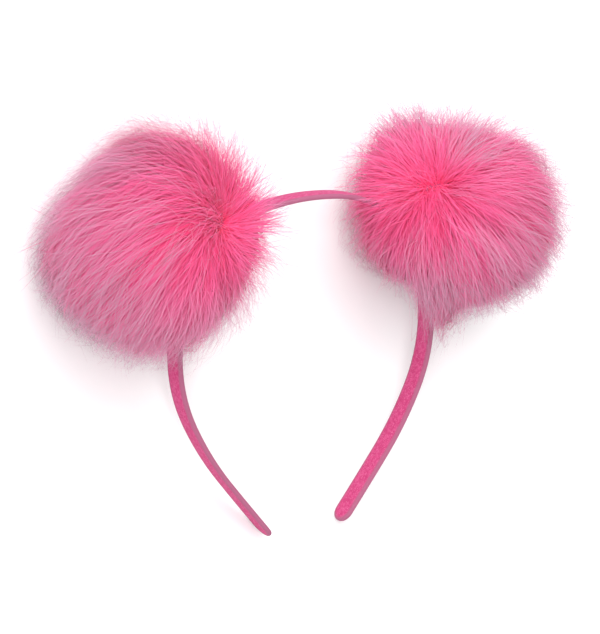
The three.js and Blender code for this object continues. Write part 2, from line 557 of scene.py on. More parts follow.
def seat_piece(
    piece: bpy.types.Object, material: bpy.types.Material, stands_for: str
) -> None:
    """Dresses a finished piece and ties it to the frame.

    Args:
        piece: The piece.
        material: Its material.
        stands_for: The solid that it replaces.
    """
    piece.data.materials.clear()
    piece.data.materials.append(material)
    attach(piece, "root")
    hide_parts(stands_for)
    log.info("%s: %d faces", piece.name, len(piece.data.polygons))


# The band


@dataclass
class Band:
    """A thin springy strip with fabric drawn round it, bent to an open arch.

    Lengths are in millimetres. The tips are round but for a short flat of twice tip_flat. Near_tip
    is a share of half the length, and an edge is level where its ends differ by less than level,
    in metres.
    """

    route: Route
    rest: Rest
    edge: float = 0.9
    edge_segments: int = 4
    tip_flat: float = 0.05
    tip_segments: int = 10
    cuts: int = 150
    near_tip: float = 0.99
    level: float = 1e-7

    def build(self) -> None:
        """Models the strip flat, rounds it, and bends it along its route."""
        piece = self.strip()
        self.round_off(piece)
        self.cross_cut(piece)
        self.bend(piece)
        finish = VelvetFinish(tip_centre=self.route.half_length / BAND_WIDTH - 0.5)
        seat_piece(piece, finish.build("velvet"), "band")

    def strip(self) -> bpy.types.Object:
        """Makes a flat bar of the band's size.

        Returns:
            The bar, with X along it, Y through it and Z across its width.
        """
        bpy.ops.object.select_all(action="DESELECT")
        bpy.ops.mesh.primitive_cube_add(size=1.0)
        piece = bpy.context.active_object
        piece.name = "band_cover"
        piece.scale = Vector((2 * self.route.half_length, BAND_THICKNESS, BAND_WIDTH)) * MM
        bpy.ops.object.transform_apply(location=False, rotation=False, scale=True)
        return piece

    def round_off(self, piece: bpy.types.Object) -> None:
        """Rounds the tips as seen from the front, and then the edge all round.

        Args:
            piece: The flat bar.
        """
        only(piece)
        end = self.route.half_length * MM * self.near_tip
        pick_edges(piece, lambda a, b: abs(a.x) > end and abs(a.y - b.y) > self.level)
        self._bevel_picked((BAND_WIDTH / 2 - self.tip_flat) * MM, self.tip_segments)
        pick_edges(piece, lambda a, b: abs(a.y - b.y) < self.level)
        self._bevel_picked(self.edge * MM, self.edge_segments)

    def _bevel_picked(self, offset: float, segments: int) -> None:
        """Bevels the edges that are picked in edit mode."""
        bpy.ops.mesh.bevel(offset=offset, segments=segments, profile=0.5)
        bpy.ops.object.mode_set(mode="OBJECT")

    def cross_cut(self, piece: bpy.types.Object) -> None:
        """Cuts the strip into short lengths so that it can bend.

        Args:
            piece: The rounded strip.
        """
        only(piece)
        bpy.ops.object.mode_set(mode="EDIT")
        reach = (self.route.half_length - BAND_WIDTH / 2) * MM
        for x in np.linspace(-reach, reach, self.cuts):
            bpy.ops.mesh.select_all(action="SELECT")
            bpy.ops.mesh.bisect(plane_co=(x, 0, 0), plane_no=(1, 0, 0))
        bpy.ops.object.mode_set(mode="OBJECT")

    def bend(self, piece: bpy.types.Object) -> None:
        """Maps the cloth, bends the strip along its route and lays it down.

        Args:
            piece: The strip, cut into short lengths.
        """
        flat = np.array([vertex.co for vertex in piece.data.vertices]) / MM
        corners = np.array([loop.vertex_index for loop in piece.data.loops])
        cloth = piece.data.uv_layers.new(name=CLOTH_MAP)
        cloth.data.foreach_set("uv", (flat[corners][:, [0, 2]] / BAND_WIDTH).ravel())
        line, out = self.route.at(flat[:, 0])
        bent = np.column_stack([line + out * flat[:, 1:2], flat[:, 2]])
        piece.data.vertices.foreach_set("co", (self.rest.place(bent) * MM).ravel())
        only(piece)
        bpy.ops.object.mode_set(mode="EDIT")
        bpy.ops.mesh.select_all(action="SELECT")
        bpy.ops.mesh.normals_make_consistent(inside=False)
        bpy.ops.object.mode_set(mode="OBJECT")
        bpy.ops.object.shade_smooth()


# Directions from the middle of a pompom


def unit(vectors: Any, guard: float = 0.0) -> np.ndarray:
    """Gives vectors a length of one.

    Args:
        vectors: One vector, or an array with a vector in each row.
        guard: A small length that keeps a vanishing vector from failing.

    Returns:
        The vectors, each divided by its length.
    """
    vectors = np.asarray(vectors, dtype=float)
    return vectors / (np.linalg.norm(vectors, axis=-1, keepdims=True) + guard)


def smooth(share: np.ndarray) -> np.ndarray:
    """Eases a share between 0 and 1 at both ends."""
    return share * share * (3 - 2 * share)


def nearness(cosine: np.ndarray, spread: float) -> np.ndarray:
    """Falls off round a place, from 1 there, by an angle's cosine and a spread in degrees."""
    away = np.degrees(np.arccos(np.clip(cosine, -1, 1))) / spread
    return np.exp(-away * away)


def nearest_on_line(direction: np.ndarray, start: Direction, end: Direction) -> np.ndarray:
    """Finds the nearest place of a short line to each direction.

    Args:
        direction: The directions.
        start: Where the line begins.
        end: Where it ends.

    Returns:
        The directions of the nearest places.
    """
    first = unit(start)
    run = unit(end) - first
    share = np.clip(((direction - first) @ run) / max(run @ run, 1e-9), 0, 1)
    return unit(first + share[..., None] * run)


def nearest(direction: np.ndarray, guides: np.ndarray) -> np.ndarray:
    """Finds the nearest guide of each direction.

    Args:
        direction: The directions.
        guides: The guides' directions.

    Returns:
        The number of a guide for each direction.
    """
    found = [
        (direction[start : start + HAIRS_AT_A_TIME] @ guides.T).argmax(1)
        for start in range(0, len(direction), HAIRS_AT_A_TIME)
    ]
    return np.concatenate(found)


def spread_evenly(count: int, random: np.random.Generator) -> np.ndarray:
    """Spreads directions evenly all round, each a little off its place.

    Args:
        count: How many there are.
        random: The seeded source of variety.

    Returns:
        The directions.
    """
    index = np.arange(count) + 0.5
    up = 1 - 2 * index / count
    around = index * math.pi * (3 - math.sqrt(5))
    flat = np.sqrt(1 - up * up)
    direction = np.stack([flat * np.cos(around), flat * np.sin(around), up], axis=-1)
    off_place = 1.2 / math.sqrt(count)
    return unit(direction + random.normal(0, off_place, direction.shape))


# How the hair of a pompom grows


class Coat(Enum):
    """The layers of hair on a pompom, from the short wool to the long wisps."""

    WOOL = "wool"
    PILE = "pile"
    GUARD = "guard"
    WISPS = "wisps"


@dataclass(frozen=True)
class CoatSize:
    """How one layer of hair grows.

    The least and most reach are shares of the pompom's own, the width is in millimetres, gather
    is how far a hair's tip is drawn to its tuft, tone runs from the deep hair at 0 to the pale
    hair at 1, tone_and_light is how much it takes of the pompom's own tone patches and of its
    painted light and shade, and stray is how unruly it is.
    """

    strands: int
    steps: int
    least: float
    most: float
    width: float
    gather: float
    tone: float
    tone_and_light: float
    stray: float = 1.0


COATS = {
    Coat.WOOL: CoatSize(6000, 3, 0.6, 0.78, 0.75, 0.2, 0.3, 0.0),
    Coat.PILE: CoatSize(38000, 3, 0.74, 0.94, 0.33, 0.12, 0.38, 0.35),
    Coat.GUARD: CoatSize(27000, 4, 0.8, 1.07, 0.21, 0.12, 0.44, 1.0),
    Coat.WISPS: CoatSize(9000, 4, 0.94, 1.26, 0.16, 0.1, 0.69, 0.8, stray=3.0),
}


class Spot(NamedTuple):
    """A round patch of a pompom, by its direction from the middle in the band's own frame.

    The amount is added there to the reach, as a share of it, or to the tone, where it stands both
    for the fur's own uneven tone and for painted light and shade. The spread is the patch's radius
    in degrees.
    """

    x: float
    y: float
    z: float
    amount: float
    spread: float


class Valley(NamedTuple):
    """A dip between two locks, along a line from one direction to another.

    The depth is a share of the pompom's reach and the spread is half its width in degrees. The hair
    along the dip is also deepened in colour, a painted shade.
    """

    start: Direction
    end: Direction
    depth: float
    spread: float


@dataclass
class Flow:
    """Which way the hair leans: away from a parting, turned a little, and down where it hangs.

    The swirl, and how far a tip leans from its root, are in degrees. Round the parting, out to
    calm_from in radians, the hair stands up and is restless. Lay_down is how late it leans over.
    """

    parting: tuple[Direction, Direction]
    droop: Direction
    swirl: float
    droop_share: float = 0.5
    lean: float = 62.0
    calm_from: float = 0.65
    upright: float = 0.2
    restless: float = 1.5
    lay_down: float = 1.1

    def nearest_parting(self, root: np.ndarray) -> np.ndarray:
        """The nearest direction of the parting to each root."""
        return nearest_on_line(root, *self.parting)

    def direction(self, root: np.ndarray) -> np.ndarray:
        """Works out the way the hair leans at each root.

        Args:
            root: Directions of the roots from the middle.

        Returns:
            Directions along the surface.
        """
        part = self.nearest_parting(root)
        away = unit(-part + root * (root * part).sum(1, keepdims=True), guard=1e-6)
        turn = math.radians(self.swirl)
        return away * math.cos(turn) + np.cross(root, away) * math.sin(turn)

    def down(self, root: np.ndarray) -> np.ndarray:
        """The way the hair droops at each root, along the surface."""
        droop = unit(self.droop)
        return droop - root * (root @ droop)[:, None]

    def from_parting(self, direction: np.ndarray) -> np.ndarray:
        """Measures how far directions are from the parting.

        Args:
            direction: The directions, in an array of any shape.

        Returns:
            Angles in radians, in an array of the same shape.
        """
        flat = direction.reshape(-1, 3)
        part = self.nearest_parting(flat)
        angle = np.arccos(np.clip((flat * part).sum(1), -1, 1))
        return angle.reshape(direction.shape[:-1])

    def calmness(self, root: np.ndarray) -> np.ndarray:
        """How settled the hair is at each root, from 0 at the parting to 1 away from it."""
        return smooth(np.clip(self.from_parting(root) / self.calm_from, 0, 1))

    def swing(self, calm: np.ndarray) -> np.ndarray:
        """How far the hair follows the flow, which is little where it isn't calm."""
        return self.upright + (1 - self.upright) * calm


@dataclass(frozen=True)
class Guides:
    """The locks or the tufts that hairs gather to.

    Each has its root's direction, its path as it would grow by itself, its path as it lies, how
    proud it stands as a share of the reach, and how much paler it is than its neighbours, partly at
    random and partly a painted light that makes proud locks paler and low ones deeper.
    """

    root: np.ndarray
    free: np.ndarray
    path: np.ndarray
    height: np.ndarray
    tone: np.ndarray


@dataclass(frozen=True)
class Passing:
    """How hair makes way for the band, in millimetres.

    The band is looked for as far as beside each way along it, at a number of places. Hair within
    depth of its middle plane is pushed out to room from its edges: in full as far as margin from
    its faces, and less and less from there until it is free.
    """

    beside: float = 75.0
    places: int = 121
    margin: float = 0.6
    free_at: float = 11.0
    room: float = 0.5
    depth: float = 14.0

    def part(self, points: np.ndarray, line: np.ndarray, out: np.ndarray) -> np.ndarray:
        """Leads points past the band, in front of it or behind it.

        Args:
            points: Points of hairs in the band's own frame.
            line: Points of the band's middle line.
            out: The band's ways out there.

        Returns:
            Each point's new height over the band's plane.
        """
        gap = points[:, None, :2] - line[None]
        index = (gap**2).sum(-1).argmin(1)
        off = (gap[np.arange(len(points)), index] * out[index]).sum(-1)
        beyond = np.abs(off) - BAND_THICKNESS / 2 - self.margin
        fade = smooth(1 - np.clip(beyond / self.free_at, 0, 1))
        room = (BAND_WIDTH / 2 + self.room) * fade
        z = points[:, 2]
        side = np.where(z < 0, -1.0, 1.0)
        pushed = side * (room + np.abs(z) * (self.depth - room) / self.depth)
        return np.where(np.abs(z) < self.depth, pushed, z)


@dataclass(frozen=True)
class ToneAndPaintedLight:
    """How the hair's tone changes over a pompom: deep at the parting, pale far from it.

    Pale_from and pale_over are angles from the parting in radians, and parting_square is the
    square of one. Valley_painted_shade is a painted shade that deepens the hair along the valleys.
    Band_painted_light paints light on the hair in front of the band and shade on the hair behind
    it, over band_front of depth and out to the root of band_square, both in millimetres.
    """

    paler: float = 0.2
    pale_from: float = 0.5
    pale_over: float = 1.1
    base: float = -0.1
    parting_deeper: float = 0.12
    parting_square: float = 0.1
    valley_painted_shade: float = 3.5
    band_painted_light: float = 0.22
    band_square: float = 300.0
    band_front: float = 8.0
    band_places: int = 61


@dataclass(frozen=True)
class Variety:
    """How much locks, tufts and hairs differ from one another, as spreads round their means.

    Turns and rolls are in radians and the wave is in millimetres. Lock_height is a mean with its
    spread, as a share of the reach, and lock_heights its limits. Hair_reach holds the two weights
    of a beta curve that favours the shorter hair. What is late gathers towards the tip.
    """

    locks: int = 150
    lock_reach: float = 0.95
    lock_lean: float = 0.16
    lock_turn: float = 0.24
    lock_height: tuple[float, float] = (0.995, 0.055)
    lock_heights: Span = (0.88, 1.08)
    # painted light: proud locks are made paler and low ones deeper
    lock_painted_light_by_height: float = 16.0
    tufts: int = 5200
    tuft_lean: float = 0.08
    tuft_turn: float = 0.1
    tuft_to_lock: float = 0.6
    tuft_late: float = 1.3
    hair_reach: tuple[float, float] = (1.5, 2.2)
    hair_lean: float = 0.1
    hair_turn: float = 0.15
    hair_to_tuft: float = 0.9
    hair_late: float = 1.5
    hair_roll: float = 0.18
    hair_widths: Span = (0.75, 1.25)
    wave: float = 0.7
    wave_turns: float = 5.0
    lock_tone: float = 0.14
    hair_tone: float = 0.045
    long_from: float = 0.94
    long_paler: float = 1.5
    tones: Span = (0.02, 0.98)


# The pompoms


@dataclass
class Pompom:
    """A stuffed ball of long-haired fabric, tied to the outside of the band.

    Lengths are in millimetres. The seat is the way along the band from the crown to where the
    pompom is tied, negative on the left. The reach is from its middle to the outline of the fur,
    and the core is the radius of the stuffed ball. Mouth is how high its gathered mouth begins
    and mouth_drawn how far it is pulled together, as shares. Shortest is the least length of a
    hair, and tallest the most that one reaches, as a share of the reach.
    """

    name: str
    route: Route
    rest: Rest
    seat: float
    reach: float
    core: float
    flow: Flow
    swells: tuple[Spot, ...]
    # tone patches: the fur's own uneven tone together with painted light and painted shade
    tone_and_light_spots: tuple[Spot, ...]
    valleys: tuple[Valley, ...]
    seed: int
    bulge: float = 0.6
    bulge_over: float = 0.9
    settling: float = 2.4
    clearance: float = 0.3
    mouth: float = 0.965
    mouth_hem: float = 0.8
    mouth_drawn: float = 0.55
    mouth_depth: float = 11.5
    pleats: int = 12
    pleat_pull: float = 0.02
    pleat_from: float = 0.2
    shortest: float = 3.0
    tallest: float = 1.16
    taper: float = 0.92
    taper_late: float = 1.7
    lowest: Span = (0.15, 1.3)
    floor_gap: float = 0.05
    trim: float = 7.0
    trim_from: tuple[float, float, float] = (123.0, 90.2, 88.5)
    passing: Passing = Passing()
    tone_and_light: ToneAndPaintedLight = ToneAndPaintedLight()
    variety: Variety = Variety()
    finish: FurFinish = FurFinish()
    backing: BackingFinish = BackingFinish()

    def __post_init__(self) -> None:
        """Finds the middle in the band's own frame; the right one's height is set by the floor."""
        point, out = self.route.at(np.array([self.seat]))
        off = BAND_THICKNESS / 2 + self.clearance + self.core
        x, y = (point + out * off)[0]
        c, s = math.cos(self.rest.tilt), math.sin(self.rest.tilt)
        z = 0.0
        if self.seat > 0:
            z = (self.reach - self.settling - self.rest.origin[2] - y * s) / c
        self.middle = np.array([x, y, z])

    def build(self) -> None:
        """Makes the stuffed ball and its coats of hair."""
        material = self.backing.build(f"{self.name}_backing")
        seat_piece(self.ball(), material, self.name)
        for number, (coat, size) in enumerate(COATS.items()):
            random = np.random.default_rng(self.seed + number)
            piece = self.grow(coat, size, random)
            material = self.finish.build(f"{self.name}_{coat.value}")
            seat_piece(piece, material, self.name)

    def ball(self) -> bpy.types.Object:
        """Makes the stuffed backing, drawn in round its knot.

        Returns:
            The ball in its place.
        """
        bpy.ops.object.select_all(action="DESELECT")
        radius = self.core * MM
        bpy.ops.mesh.primitive_uv_sphere_add(segments=48, ring_count=32, radius=radius)
        piece = bpy.context.active_object
        piece.name = f"{self.name}_backing"
        self._draw_in(piece)
        self._pleat(piece.data)
        self._tie_on(piece.data)
        bpy.ops.object.shade_smooth()
        return piece

    def _draw_in(self, piece: bpy.types.Object) -> None:
        """Draws the mouth of the ball in, as its thread does.

        Args:
            piece: The ball, with its mouth at the top.
        """
        only(piece)
        mesh = piece.data
        for face in mesh.polygons:
            face.select = face.center.z > self.core * MM * self.mouth
        for edge in mesh.edges:
            edge.select = False
        bpy.ops.object.mode_set(mode="EDIT")
        bpy.ops.mesh.select_mode(type="FACE")
        bpy.ops.mesh.inset(thickness=self.mouth_hem * MM)
        bpy.ops.transform.resize(value=(self.mouth_drawn, self.mouth_drawn, 1))
        inward = {"value": (0, 0, -self.mouth_depth * MM)}
        bpy.ops.mesh.extrude_region_move(TRANSFORM_OT_translate=inward)
        bpy.ops.object.mode_set(mode="OBJECT")

    def _pleat(self, mesh: bpy.types.Mesh) -> None:
        """Pulls pleats into the ball round its mouth.

        Args:
            mesh: The ball's mesh.
        """
        for vertex in mesh.vertices:
            height = vertex.co.z / (self.core * MM)
            if height > self.pleat_from:
                around = math.atan2(vertex.co.y, vertex.co.x)
                pull = self.pleat_pull * math.cos(self.pleats * around) * (height - self.pleat_from)
                vertex.co.x *= 1 + pull
                vertex.co.y *= 1 + pull

    def _tie_on(self, mesh: bpy.types.Mesh) -> None:
        """Turns the mouth to the band, lets the ball bulge under the parting and lays it down.

        Args:
            mesh: The ball's mesh.
        """
        _, out = self.route.at(np.array([self.seat]))
        lying = Matrix(self.rest.axes().tolist()).to_4x4()
        inward = Vector(self.rest.axes() @ np.append(-out[0], 0.0))
        turn = Vector((0, 0, 1)).rotation_difference(inward).to_matrix().to_4x4()
        mesh.transform(lying.inverted() @ turn)
        points = np.array([vertex.co for vertex in mesh.vertices])
        points = points * (self.backing_reach(unit(points)) / self.core)[:, None]
        mesh.vertices.foreach_set("co", points.ravel())
        middle = Vector(self.rest.place(self.middle[None])[0] * MM)
        mesh.transform(Matrix.Translation(middle) @ lying)

    def backing_reach(self, direction: np.ndarray) -> np.ndarray:
        """How far the stuffed backing goes, in millimetres: it bulges under the parting."""
        away = self.flow.from_parting(direction) / self.bulge_over
        return self.core * (1 + self.bulge * np.exp(-away * away))

    def swell(self, direction: np.ndarray) -> np.ndarray:
        """Works out how far the fur goes.

        Args:
            direction: Directions from the middle.

        Returns:
            Shares of the pompom's reach.
        """
        total = np.ones(direction.shape[:-1])
        for x, y, z, further, spread in self.swells:
            total += further * nearness(direction @ unit((x, y, z)), spread)
        return total - self.valley(direction)

    def valley(self, direction: np.ndarray) -> np.ndarray:
        """Works out how far the fur sinks between its locks.

        Args:
            direction: Directions from the middle.

        Returns:
            Shares of the pompom's reach.
        """
        total = np.zeros(direction.shape[:-1])
        for start, end, depth, spread in self.valleys:
            near = nearest_on_line(direction, start, end)
            total += depth * nearness((direction * near).sum(-1), spread)
        return total

    def paths(
        self, root: np.ndarray, outer: np.ndarray, lean: np.ndarray, steps: int, twist: np.ndarray
    ) -> np.ndarray:
        """Works out the free path of each hair, before it gathers with its neighbours.

        Args:
            root: Directions of the roots from the middle.
            outer: How far each hair reaches, as a share of the pompom's reach.
            lean: How far each leans, against the flow's own.
            steps: The number of steps along a hair.
            twist: How far each turns out of the flow, in radians.

        Returns:
            Points from the middle, one row for each hair and one column for each step.
        """
        calm = self.flow.calmness(root)
        twist = twist * (1 + self.flow.restless * (1 - calm) ** 4)
        away = self.flow.direction(root)
        side = np.cross(root, away)
        away = away * np.cos(twist)[:, None] + side * np.sin(twist)[:, None]
        share = np.linspace(0, 1, steps + 1)
        hang = (self.flow.droop_share * calm)[:, None] * share
        away = unit(away[:, None] + self.flow.down(root)[:, None] * hang[..., None], guard=1e-6)
        most = math.radians(self.flow.lean) * self.flow.swing(calm)
        angle = (most * lean)[:, None] * share**self.flow.lay_down
        direction = root[:, None] * np.cos(angle)[..., None] + away * np.sin(angle)[..., None]
        rise = np.sin(share * math.pi / 2)
        base = self.backing_reach(root)[:, None]
        far = outer[:, None] * self.reach * self.swell(direction)
        far = np.maximum(far, base + self.shortest)
        return direction * (base + (far - base) * rise)[..., None]

    def grow(self, coat: Coat, size: CoatSize, random: np.random.Generator) -> bpy.types.Object:
        """Grows one coat.

        Args:
            coat: Which layer it is.
            size: How it grows.
            random: The seeded source of its variety.

        Returns:
            The coat's mesh as an object.
        """
        vary = self.variety
        locks = self._locks(size, random)
        tufts = self._tufts(locks, size, random)
        root = spread_evenly(size.strands, random)
        near = nearest(root, tufts.root)
        outer = size.least + (size.most - size.least) * random.beta(*vary.hair_reach, size.strands)
        outer = np.minimum(outer * tufts.height[near], self.tallest)
        upright = 1.0 - vary.hair_lean * (size.stray - 1)
        lean = random.normal(upright, vary.hair_lean * size.stray, size.strands)
        twist = random.normal(0.0, vary.hair_turn * size.stray, size.strands)
        path = self.paths(root, outer, lean, size.steps, twist)
        calm = self.flow.calmness(root)
        path = self._gather(path, calm, tufts.free[near], tufts.path[near], size.gather)
        path += self._wave(root, size.steps, random) * size.stray
        path = self._clear_band(path + self.middle) - self.middle
        placed = self._settle(self.rest.place(path + self.middle), random)
        tone = size.tone + tufts.tone[near] * vary.lock_tone * self.flow.swing(calm)
        tone = tone + random.normal(0, vary.hair_tone, size.strands)
        long = np.maximum(outer - vary.long_from, 0) * calm * vary.long_paler
        # the tone takes the pompom's painted light and painted shade as well as the hair's own tone
        tone = np.clip(tone + self._tone_and_painted_light(path[:, -1]) * size.tone_and_light + long, *vary.tones)
        return self._weave(f"{self.name}_{coat.value}", placed, size, tone, random)

    def _locks(self, size: CoatSize, random: np.random.Generator) -> Guides:
        """Lays the big locks.

        Args:
            size: How the coat grows.
            random: The seeded source of variety.

        Returns:
            The locks.
        """
        vary = self.variety
        count = vary.locks
        root = spread_evenly(count, random)
        lean = random.normal(1.0, vary.lock_lean, count)
        height = np.clip(random.normal(*vary.lock_height, count), *vary.lock_heights)
        twist = random.normal(0.0, vary.lock_turn, count)
        path = self.paths(root, vary.lock_reach * height, lean, size.steps, twist)
        # a random tone for each lock, plus a painted light that makes proud locks paler and low
        # ones deeper
        tone = random.normal(0.0, 1.0, count) + (height - 1) * vary.lock_painted_light_by_height
        return Guides(root, path, path, height, tone)

    def _tufts(self, locks: Guides, size: CoatSize, random: np.random.Generator) -> Guides:
        """Lays the small tufts, each drawn to its lock but as long as before.

        Args:
            locks: The big locks.
            size: How the coat grows.
            random: The seeded source of variety.

        Returns:
            The tufts, each with its lock's height and tone.
        """
        vary = self.variety
        count = vary.tufts
        root = spread_evenly(count, random)
        near = nearest(root, locks.root)
        outer = random.uniform(size.least, size.most, count) * locks.height[near]
        lean = random.normal(1, vary.tuft_lean, count)
        free = self.paths(root, outer, lean, size.steps, random.normal(0, vary.tuft_turn, count))
        share = np.linspace(0, 1, size.steps + 1)
        drawn = vary.tuft_to_lock * share**vary.tuft_late
        path = free + (locks.path[near] - free) * drawn[None, :, None]
        reach = np.linalg.norm(free, axis=-1, keepdims=True)
        path *= reach / np.linalg.norm(path, axis=-1, keepdims=True)
        return Guides(root, free, path, locks.height[near], locks.tone[near])

    def _gather(
        self,
        path: np.ndarray,
        calm: np.ndarray,
        free: np.ndarray,
        gathered: np.ndarray,
        gather: float,
    ) -> np.ndarray:
        """Draws each hair to its tuft, and keeps it to the outline of the fur.

        Args:
            path: The hairs' own paths.
            calm: How settled each is.
            free: The path of each hair's tuft as it would grow by itself.
            gathered: The path of that tuft as it lies.
            gather: How far a tip is drawn to the tuft.

        Returns:
            The new paths.
        """
        share = np.linspace(0, 1, path.shape[1])
        settled = (calm**2)[:, None, None]
        drawn = gather * share**self.variety.hair_late
        alone = self.swell(unit(path))
        path = path + (gathered - free) * self.variety.hair_to_tuft * settled
        path += (gathered - path) * drawn[None, :, None] * settled
        moved = self.swell(unit(path))
        return path * (1 + (moved / alone - 1) * share)[..., None]

    def _wave(self, root: np.ndarray, steps: int, random: np.random.Generator) -> np.ndarray:
        """Works out a small sideways wave along each hair.

        Args:
            root: Directions of the roots from the middle.
            steps: The number of steps along a hair.
            random: The seeded source of variety.

        Returns:
            How far each point moves, in millimetres.
        """
        count = len(root)
        share = np.linspace(0, 1, steps + 1)
        side = unit(np.cross(root, random.normal(0, 1, (count, 3))))
        phase = random.uniform(0, 2 * math.pi, count)[:, None]
        size = random.normal(0, self.variety.wave, count)[:, None] * share
        wave = size * np.sin(self.variety.wave_turns * share + phase)
        return side[:, None] * wave[..., None]

    def _band_beside(self, places: int) -> tuple[np.ndarray, np.ndarray]:
        """The band's line and its ways out beside the pompom, at a number of even places."""
        beside = self.passing.beside
        return self.route.at(np.linspace(self.seat - beside, self.seat + beside, places))

    def _clear_band(self, points: np.ndarray) -> np.ndarray:
        """Leads the hair past the band, some thousand points at a time.

        Args:
            points: Points of the hairs in the band's own frame.

        Returns:
            The points, clear of the band.
        """
        line, out = self._band_beside(self.passing.places)
        flat = points.reshape(-1, 3)
        moved = flat.copy()
        for start in range(0, len(flat), POINTS_AT_A_TIME):
            some = slice(start, start + POINTS_AT_A_TIME)
            moved[some, 2] = self.passing.part(flat[some], line, out)
        return moved.reshape(points.shape)

    def _settle(self, points: np.ndarray, random: np.random.Generator) -> np.ndarray:
        """Presses the hair flat where the pompom rests, and trims what stands out furthest.

        Args:
            points: Points of the hairs in the scene.
            random: The seeded source of variety.

        Returns:
            The settled points.
        """
        low = random.uniform(*self.lowest, points.shape[0])[:, None]
        points[..., 2] = np.maximum(points[..., 2], low)
        far = np.abs(points)
        over = np.maximum(far - self.trim_from, 0)
        kept = np.minimum(far, self.trim_from) + self.trim * np.tanh(over / self.trim)
        return np.sign(points) * kept

    def _tone_and_painted_light(self, tip: np.ndarray) -> np.ndarray:
        """Works out how much paler the hair is by where it ends, painted light and shade included.

        Args:
            tip: The hairs' tips from the middle.

        Returns:
            What is added to each hair's tone.
        """
        tone_and_light = self.tone_and_light
        direction = unit(tip)
        away = self.flow.from_parting(direction)
        share = np.clip((away - tone_and_light.pale_from) / tone_and_light.pale_over, 0, 1)
        paler = tone_and_light.paler * smooth(share) + tone_and_light.base
        paler -= tone_and_light.parting_deeper * np.exp(-away * away / tone_and_light.parting_square)
        # painted shade: the hair is deepened in colour along the valleys between the locks
        paler -= self.valley(direction) * tone_and_light.valley_painted_shade
        # painted light and painted shade, mixed with the fur's own uneven tone, patch by patch
        for x, y, z, shade, spread in self.tone_and_light_spots:
            paler += shade * nearness(direction @ unit((x, y, z)), spread)
        point = tip + self.middle
        front = np.clip(point[:, 2] / tone_and_light.band_front, -1, 1)
        line, _ = self._band_beside(tone_and_light.band_places)
        gap = ((point[:, None, :2] - line[None]) ** 2).sum(-1).min(1)
        # painted light on the hair in front of the band and painted shade on the hair behind it,
        # near the band
        return paler + tone_and_light.band_painted_light * front * np.exp(-gap / tone_and_light.band_square)

    def _weave(
        self,
        name: str,
        path: np.ndarray,
        size: CoatSize,
        tone: np.ndarray,
        random: np.random.Generator,
    ) -> bpy.types.Object:
        """Joins the hairs into one mesh of flat tapered strands.

        Args:
            name: The piece's name.
            path: The hairs' points in the scene, in millimetres.
            size: How the coat grows.
            tone: Each hair's tone.
            random: The seeded source of variety.

        Returns:
            The mesh as an object.
        """
        count, steps = len(path), size.steps
        along = unit(np.gradient(path, axis=1), guard=1e-9)
        out = path - self.rest.place(self.middle[None])[0]
        side = unit(np.cross(along, out), guard=1e-9)
        over = np.cross(side, along)
        roll = random.normal(0, self.variety.hair_roll, count)[:, None, None]
        side = side * np.cos(roll) + over * np.sin(roll)
        taper = 1 - self.taper * np.linspace(0, 1, steps + 1) ** self.taper_late
        wide = random.uniform(*self.variety.hair_widths, count) * size.width
        half = (wide / 2)[:, None] * taper
        left = path - side * half[..., None]
        right = path + side * half[..., None]
        vertices = np.empty((count, 2 * steps + 1, 3))
        vertices[:, 0:-1:2] = left[:, :-1]
        vertices[:, 1:-1:2] = right[:, :-1]
        vertices[:, -1] = path[:, -1]
        vertices[..., 2] = np.maximum(vertices[..., 2], self.floor_gap)
        return strand_mesh(name, vertices * MM, steps, tone)


def strand_mesh(name: str, vertices: np.ndarray, steps: int, tone: np.ndarray) -> bpy.types.Object:
    """Makes one mesh of many strands, with their map.

    Args:
        name: The piece's name.
        vertices: Two for each step of each strand and one at its tip, in metres.
        steps: The number of steps along a strand.
        tone: Each strand's place across the map.

    Returns:
        The mesh as an object.
    """
    count, per = vertices.shape[:2]
    quads = [(2 * k, 2 * k + 1, 2 * k + 3, 2 * k + 2) for k in range(steps - 1)]
    corners = np.array([i for quad in quads for i in quad] + [per - 3, per - 2, per - 1])
    starts = np.array([4 * k for k in range(steps)])
    loops = (corners[None] + (np.arange(count) * per)[:, None]).ravel()
    begins = (starts[None] + (np.arange(count) * len(corners))[:, None]).ravel()
    mesh = bpy.data.meshes.new(name)
    mesh.vertices.add(count * per)
    mesh.vertices.foreach_set("co", vertices.ravel())
    mesh.loops.add(len(loops))
    mesh.loops.foreach_set("vertex_index", loops.astype(np.int32))
    mesh.polygons.add(len(begins))
    mesh.polygons.foreach_set("loop_start", begins.astype(np.int32))
    mesh.update(calc_edges=True)
    layer = mesh.uv_layers.new(name=FUR_MAP)
    places = strand_map(tone, steps).reshape(-1, 2)
    layer.data.foreach_set("uv", places[loops].ravel())
    mesh.polygons.foreach_set("use_smooth", np.ones(len(begins), dtype=bool))
    piece = bpy.data.objects.new(name, mesh)
    bpy.context.scene.collection.objects.link(piece)
    return piece


def strand_map(tone: np.ndarray, steps: int) -> np.ndarray:
    """Works out the places of the strands' vertices on their map.

    Args:
        tone: Each strand's place across the map.
        steps: The number of steps along a strand.

    Returns:
        A place for each vertex: its tone, and the way from root to tip.
    """
    half_width = 0.004
    margin = 0.01
    pairs = range(2 * steps)
    along = np.array([k // 2 / steps for k in pairs] + [1.0])
    across = np.array([(-1) ** (k + 1) for k in pairs] + [0]) * half_width
    places = np.empty((len(tone), 2 * steps + 1, 2))
    places[..., 0] = tone[:, None] + across
    places[..., 1] = margin + (1 - 2 * margin) * along
    return places


